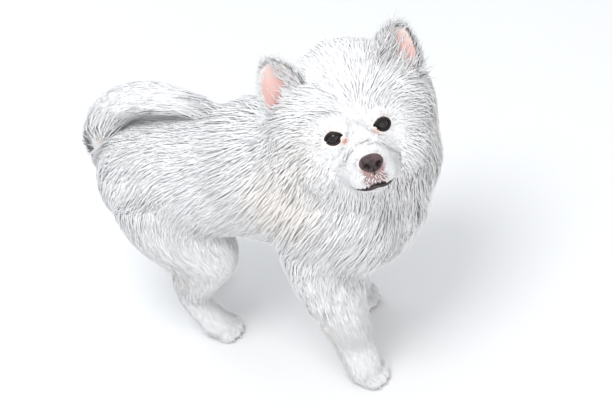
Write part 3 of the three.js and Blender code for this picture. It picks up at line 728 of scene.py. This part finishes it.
distance, t, turn, along = nearness(skin_points, NECK, lambda s: CORE["neck"])
side_on = np.abs(np.cos(turn))
front = ramp_to(x - 0.25 * z, 60, 95)
flow = -along + DOWN * (0.7 * side_on + 1.3 * front)[:, None]
mane_edge = 1 - ramp_to(t, 0.3, 0.62)
region("neck", distance, t, turn, flow, 48 - 6 * front + 14 * mane_edge, 14.5 + 5 * mane_edge, 1.25, 0.9)

bib_offset = (skin_points - np.array(BIB[0])) / (np.array(BIB[1]) - CORE["neck"])
distance = (np.linalg.norm(bib_offset, axis=1) - 1) * 45
bib_turn = np.arctan2(bib_offset[:, 1], bib_offset[:, 0])
flow = DOWN * 1.0 + unit(bib_offset * [1, 1, 0]) * 0.15
region("bib", distance, (bib_offset[:, 2] + 1.3) / 2.6, bib_turn, flow, 46, 14.5, 1.25, 0.85)

distance, t, turn, along = nearness(skin_points, TAIL, lambda s: CORE["tail"])
region("tail", distance + 1, t, turn, along, 44 - 14 * ramp_to(t, 0.8, 1), 5.5, 1.05, 1.2)

for name, stations in LEGS.items():
    distance, t, turn, along = nearness(skin_points, stations, leg_shrink(name))
    from_foot = stations[::-1]
    leg_x = np.interp(z, [s[2] for s in from_foot], [s[0] for s in from_foot])
    rear = ramp_to(-(x - leg_x), 0, 14)
    low_leg = ramp_to(t, 0.3, 0.62)
    foot = ramp_to(-z, -26, -8)
    lie = (along * (1 - foot)[:, None] + np.array([0.9, 0, -0.35]) * foot[:, None]
           + REAR * (0.3 * rear)[:, None])
    long = 32 * (1 - low_leg) + (13 + 7 * rear) * low_leg
    long = long * (1 - foot) + 6.5 * foot
    high = 6.5 * (1 - low_leg) + (2.6 + 2.0 * rear) * low_leg
    high = high * (1 - foot) + 1.2 * foot
    region(name, distance, t, turn, lie, long, high, 1.15 - 0.2 * low_leg, 0.9 + 0.9 * low_leg)

local = in_head(skin_points)
distance, t, turn, _ = nearness(local, HEAD, head_shrink, np.array([1.0, 0, 0]))
hx, hy, hz = local.T
muzzle = ramp_to(hx, -6, 12)
face = ramp_to(hx, -34, -8)
cheek = ramp_to(np.abs(hy) - 0.25 * hz, 26, 50) * (1 - muzzle)
ahead = ramp_to(hx + 0.5 * hz, -26, -6)[:, None]
source = np.array([16.0, 0, -8]) * (1 - ahead) + np.array([44.0, 0, -14]) * ahead
lie = unit(local - source) + np.array([-0.5, 0, -0.55]) * cheek[:, None]
long = 25 * (1 - face) + 12.5 * face + 18 * cheek
long = long * (1 - muzzle) + 4.5 * muzzle
high = 7.5 * (1 - face) + 4.2 * face + 5 * cheek
high = high * (1 - muzzle) + 1.1 * muzzle
wide = 1.0 * (1 - face) + 0.85 * face
wide = wide * (1 - muzzle) + 0.65 * muzzle
dense = 1.4 * (1 - face) + 2.6 * face
dense = dense * (1 - muzzle) + 5.5 * muzzle
region("head", distance, t, turn, lie @ HEAD_AXES, long, high, wide, dense)

for side, word in ((-1, "right"), (1, "left")):
    root, tip, upward, ahead, outward = ear_frame(side)
    rise = (local - root) @ upward / np.linalg.norm(tip - root)
    half = np.interp(rise, [0, 0.3, 0.6, 0.82, 1.0], [16, 17.2, 16, 12.2, 3.2])
    spot = local - root - rise[:, None] * (tip - root)
    u, v = spot @ outward, spot @ ahead - half * EAR_SAG
    shell = np.abs(np.sqrt((u / half) ** 2 + (np.minimum(v, 0) / (half * EAR_SAG)) ** 2) - 1) * half
    shell = np.where((rise > 0.12) & (rise < 1.06) & (v < 3.5), np.minimum(shell, 12), 30)
    rim = ramp_to(v, -5, 0)
    hollow = (unit(skin_normals @ HEAD_AXES.T) * (u[:, None] * outward + v[:, None] * ahead)).sum(1) < 0
    bare = hollow & (v < 0.5)
    wisp = bare & ((u < -0.45 * half) | (rise < 0.22))
    lie = (upward + outward * (0.25 * np.sign(u) * rim + 0.7 * wisp)[:, None]
           + ahead * (0.3 * wisp - 0.1)[:, None])
    region("ear_" + word, np.maximum(shell - 2.5, 0) - 4, rise, np.arctan2(u, -v), lie @ HEAD_AXES,
           6.5 + 2 * rim + 8 * wisp, 1.3 + 0.5 * rim + 3 * wisp, 1.1 - 0.35 * wisp,
           np.where(wisp, 0.45, np.where(bare, 0.02, 4.6)))

weights = np.stack([r["weight"] for r in regions])
for k, r in enumerate(regions):
    if r["name"].startswith("ear_"):
        weights[k] *= 6 * (r["weight"] > 0.7)
total = weights.sum(0)


def blend(key):
    """What the forms say of the coat, drawn together by nearness at each point of the skin."""
    values = np.stack([r[key] for r in regions])
    return (weights[..., None] * values).sum(0) / total[:, None] if values.ndim == 3 \
        else (weights * values).sum(0) / total


lie = blend("flow")
lie = unit(lie - skin_normals * (lie * skin_normals).sum(1, keepdims=True))
tuft_long, tuft_high, tuft_wide, tuft_dense = (blend(key) for key in ("long", "high", "wide", "dense"))
owner = weights.argmax(0)
names = [r["name"] for r in regions]

# Short hair round the eyes, and none on the eyes, the nose, the lips and the skin between them
for side in (-1, 1):
    axis = eye_axis(side)
    level_way = eye_across(side) * side
    offset = local - eye_middle(side)
    sideways, rise = offset @ level_way, offset[:, 2]
    ahead = offset @ axis > 0
    ring = np.sqrt((sideways / LID_WIDE) ** 2 + (rise / LID_HIGH) ** 2)
    close = np.where(ahead & (np.linalg.norm(offset, axis=1) < 34), 1 - ramp_to(ring, 1.2, 4.6), 0)
    tuft_long *= 1 - 0.72 * close
    tuft_high *= 1 - 0.78 * close
    tuft_wide *= 1 - 0.35 * close
    tuft_dense *= 1 + 1.6 * close
    lie = lie * (1 - 0.8 * close)[:, None]
    parting = (level_way * sideways[:, None] + np.array([0, 0, 1.0]) * (rise * 1.4)[:, None])
    lie = unit(lie + unit(parting @ HEAD_AXES) * (1.6 * close)[:, None])
    tuft_dense[ahead & (ring < 1.14)] = 0
nose_gap = np.linalg.norm((local - NOSE) / (NOSE_HALF + 0.6), axis=1)
tuft_dense[nose_gap < 1] = 0
lip_gap = np.sqrt(((local[:, None, :] - lip_path[None, 18:73:5] - [0, 0, -0.9]) ** 2).sum(2)).min(1)
tuft_dense[lip_gap < 2.4] = 0
tuft_long *= np.where(lip_gap < 6, 0.75, 1)
bare_lip = np.linalg.norm((local - [33, 0, -32]) / [8, 10, 5.5], axis=1)
tuft_dense *= np.where(bare_lip < 1, 0.12, 1)
tuft_long *= np.where(bare_lip < 1, 0.45, 1)
lie = unit(lie - skin_normals * (lie * skin_normals).sum(1, keepdims=True))

# Roots, spread by area and density, and the waves of the coat's lie
corners = skin_points[skin_triangles]
across = np.cross(corners[:, 1] - corners[:, 0], corners[:, 2] - corners[:, 0])
areas = np.linalg.norm(across, axis=1) / 2
share = areas * tuft_dense[skin_triangles].mean(1)
share[(tuft_dense[skin_triangles] == 0).any(1)] = 0
SOLE_HEIGHT = 1.2
share[corners[:, :, 2].mean(1) < SOLE_HEIGHT] = 0
TUFTS = 147000
picked = np.searchsorted(np.cumsum(share), (np.arange(TUFTS) + rng.random(TUFTS)) / TUFTS * share.sum())
picked = np.minimum(picked, len(share) - 1)
a, b = rng.random((2, TUFTS))
fold = a + b > 1
a[fold], b[fold] = 1 - a[fold], 1 - b[fold]
mix = np.stack([1 - a - b, a, b], axis=1)
ids = skin_triangles[picked]
form = owner[ids[:, 0]]


def at_root(values):
    """Values of the skin's points at each tuft's root."""
    return (values[ids] * mix[..., None]).sum(1) if values.ndim == 2 else (values[ids] * mix).sum(1)


root = at_root(skin_points)
normal = unit(at_root(skin_normals))
way = unit(at_root(lie))
# Waves in the coat: the length of each in millimetres and how far it turns the hair
WAVES = ((60, 0.14), (26, 0.10), (12, 0.05))
ROUND = 6.28
wave = np.zeros(TUFTS)
for size, strength in WAVES:
    pitch = rng.normal(size=(3, 3)) / size * 3
    wave += strength * np.sin(root @ pitch.T + rng.random(3) * ROUND).sum(1) / 1.7
wave += 0.10 * rng.normal(size=TUFTS)
way = unit(way + np.cross(normal, way) * wave[:, None])
length = at_root(tuft_long) * (1 + 0.22 * rng.normal(size=TUFTS)).clip(0.5, 1.6)
height = at_root(tuft_high) * (0.78 + 0.26 * rng.random(TUFTS))
breadth = at_root(tuft_wide) * (0.75 + 0.5 * rng.random(TUFTS))

tree = KDTree(count)
for i, p in enumerate(skin_points.tolist()):
    tree.insert(p, i)
tree.balance()


def over_skin(points, wanted, give):
    """Sets points at a wanted height over the nearest skin, moved by no more than give."""
    near = np.array([tree.find(p)[1] for p in points.tolist()])
    out = skin_normals[near]
    have = ((points - skin_points[near]) * out).sum(1)
    return points + out * np.clip(wanted - have, -give, give)[:, None], near


step = (length / 2)[:, None]
middle, near = over_skin(root + way * step, height, length * 0.5)
middle_out = skin_normals[near]
onward = unit(way + 0.9 * lie[near] + DOWN * 0.12)
spread = np.cross(middle_out, onward) * (0.10 * rng.normal(size=TUFTS))[:, None]
in_mane = np.isin(form, [names.index("neck"), names.index("bib")])
loose = np.where(in_mane, 0.16, 0.45)
tip_height = height * (0.92 + 0.25 * rng.random(TUFTS))
tip, near = over_skin(middle + (onward + spread) * step, tip_height, length * loose)
on_ear = np.isin(form, [names.index("ear_right"), names.index("ear_left")])[:, None]
middle = np.where(on_ear, root + way * step + normal * height[:, None], middle)
own_shade = on_ear | ((middle_out * normal).sum(1, keepdims=True) < 0.35)
sway = 0.25 * rng.normal(size=(TUFTS, 1)) * np.cross(normal, way)
tip = np.where(on_ear, middle + (way + sway) * step, tip)

# Tufts that stray over a gap, turn back or cross an eye are left out
clear = np.linalg.norm(tip - root, axis=1) < 1.25 * length
tip_gap = np.linalg.norm(tip - skin_points[near], axis=1)
clear &= on_ear[:, 0] | (tip_gap < np.where(in_mane, 26, 2.2 * height + 9))
clear &= np.linalg.norm(tip - middle, axis=1) < 0.85 * length
clear &= np.linalg.norm(middle - root, axis=1) < 0.80 * length
clear &= ((tip - middle) * (middle - root)).sum(1) > 0
for side in (-1, 1):
    axis = eye_axis(side)
    level_way = eye_across(side)
    for spots in (middle, tip, (middle + tip) / 2):
        offset = in_head(spots) - eye_middle(side)
        ring = (offset @ level_way / (LID_WIDE + 0.5)) ** 2 + (offset[:, 2] / (LID_HIGH + 0.5)) ** 2
        clear &= ~((offset @ axis > 0) & (ring < 1))
FLOOR_GAP = (0.4, 0.6)
tip[:, 2] = np.maximum(tip[:, 2], FLOOR_GAP[0])
middle[:, 2] = np.maximum(middle[:, 2], FLOOR_GAP[1])
ROOT_DEPTH = 0.7
base = root - normal * ROOT_DEPTH

# Each tuft: three-sided, from a flat base to a fine tip, and shaded mostly like the coat round it
FLAT = 0.34
CORNERS = np.array([math.pi / 2, math.pi * 7 / 6, math.pi * 11 / 6])
ROUND_SHADE = 0.22
UP_SHADE = np.array([0, 0, 0.25])


def tuft_ring(centre, along, out, size):
    """Three points round each tuft, flat to the skin, and the normals it is shaded by."""
    across = unit(np.cross(out, along))
    face = unit(np.cross(along, across))
    half = (size / 2)[:, None, None]
    wide = np.cos(CORNERS)[None, :, None]
    deep = np.sin(CORNERS)[None, :, None]
    own = across[:, None] * wide + face[:, None] * (deep * 1.6)
    spots = (centre[:, None] + across[:, None] * (half * wide)
             + face[:, None] * (half * FLAT * deep))
    shared = np.where(own_shade, 0.12, 1.0)[:, None]
    return spots, unit(unit(own) * (1 + ROUND_SHADE - shared) + out[:, None] * shared + UP_SHADE)


ring_a, shade_a = tuft_ring(base, unit(middle - base), normal, breadth * 0.85)
ring_b, shade_b = tuft_ring(middle, unit(tip - base), middle_out, breadth)
tuft_points = np.concatenate([ring_a, ring_b, tip[:, None]], axis=1)
tip_shade = np.where(own_shade, unit(tip - middle), unit(middle_out))
tuft_shades = np.concatenate([shade_a, shade_b, tip_shade[:, None]], axis=1)
TUFT_POINTS = 7
TUFT_FACES = [(0, 2, 1)]
for j in range(3):
    n = (j + 1) % 3
    TUFT_FACES += [(j, n, 3 + n), (j, 3 + n, 3 + j), (3 + j, 3 + n, 6)]
TUFT_FACES = np.array(TUFT_FACES)

# Each tuft's place on an unwrap of the skin: one tile for each form, round it and along it
TILES = 4
PATCH = 0.003
form_t = np.stack([r["t"] * np.ones(count) for r in regions])[form, ids[:, 0]]
form_turn = np.stack([r["turn"] * np.ones(count) for r in regions])[form, ids[:, 0]]
tile = np.stack([form % TILES, form // TILES], axis=1) / TILES
inner = np.stack([form_turn / (2 * math.pi) + 0.5, form_t], axis=1).clip(0.01, 0.99)
root_uv = tile + inner * (1 / TILES - PATCH)
patch = np.array([(0, 0), (0.5, 0), (1, 0), (0, 0.5), (0.5, 0.5), (1, 0.5), (0.5, 1)]) * PATCH
tuft_uv = root_uv[:, None] + patch

WHITE_COAT = (0.86, 0.85, 0.84)
coat_paint, coat_tree, coat_shader = new_material("white_coat", WHITE_COAT, 0.7, Sheen_Weight=0.15,
                                                  Sheen_Roughness=0.5, Specular_IOR_Level=0.25)
ramp = noise_colour(coat_tree, coat_shader, 60.0, (0.88, 0.88, 0.885), (0.93, 0.925, 0.92))
coat_tree.links.new(marked(coat_tree, ramp.outputs["Color"]), coat_shader.inputs["Base Color"])


def coat_piece(name, chosen):
    """One piece of the coat, from the chosen tufts."""
    points = place(tuft_points[chosen]).reshape(-1, 3)
    faces = (TUFT_FACES[None] + TUFT_POINTS * np.arange(len(chosen))[:, None, None]).reshape(-1)
    mesh = bpy.data.meshes.new(name)
    mesh.vertices.add(len(points))
    mesh.vertices.foreach_set("co", points.ravel())
    mesh.loops.add(len(faces))
    mesh.loops.foreach_set("vertex_index", faces)
    mesh.polygons.add(len(faces) // 3)
    mesh.polygons.foreach_set("loop_start", np.arange(0, len(faces), 3))
    mesh.update(calc_edges=True)
    unwrap = mesh.uv_layers.new(name="OFBake")
    unwrap.data.foreach_set("uv", tuft_uv[chosen].reshape(-1, 2)[faces].ravel())
    mesh.polygons.foreach_set("use_smooth", np.ones(len(mesh.polygons), bool))
    mesh.normals_split_custom_set_from_vertices(tuft_shades[chosen].reshape(-1, 3))
    piece = bpy.data.objects.new(name, mesh)
    bpy.context.scene.collection.objects.link(piece)
    finish_piece(piece, "coat", coat_paint)


PIECE = 19900
groups = {"torso": ["torso"], "ruff": ["neck", "bib"], "tail": ["tail"], "head": ["head"],
          "ears": ["ear_right", "ear_left"], "legs": list(LEGS)}
for group, members in groups.items():
    chosen = np.nonzero(np.isin(form, [names.index(m) for m in members]) & clear)[0]
    parts = max(1, math.ceil(len(chosen) / PIECE))
    order = chosen[np.argsort(root[chosen, 0])]
    for i, part in enumerate(np.array_split(order, parts)):
        coat_piece("coat_" + group + "_" + str(i + 1), part)
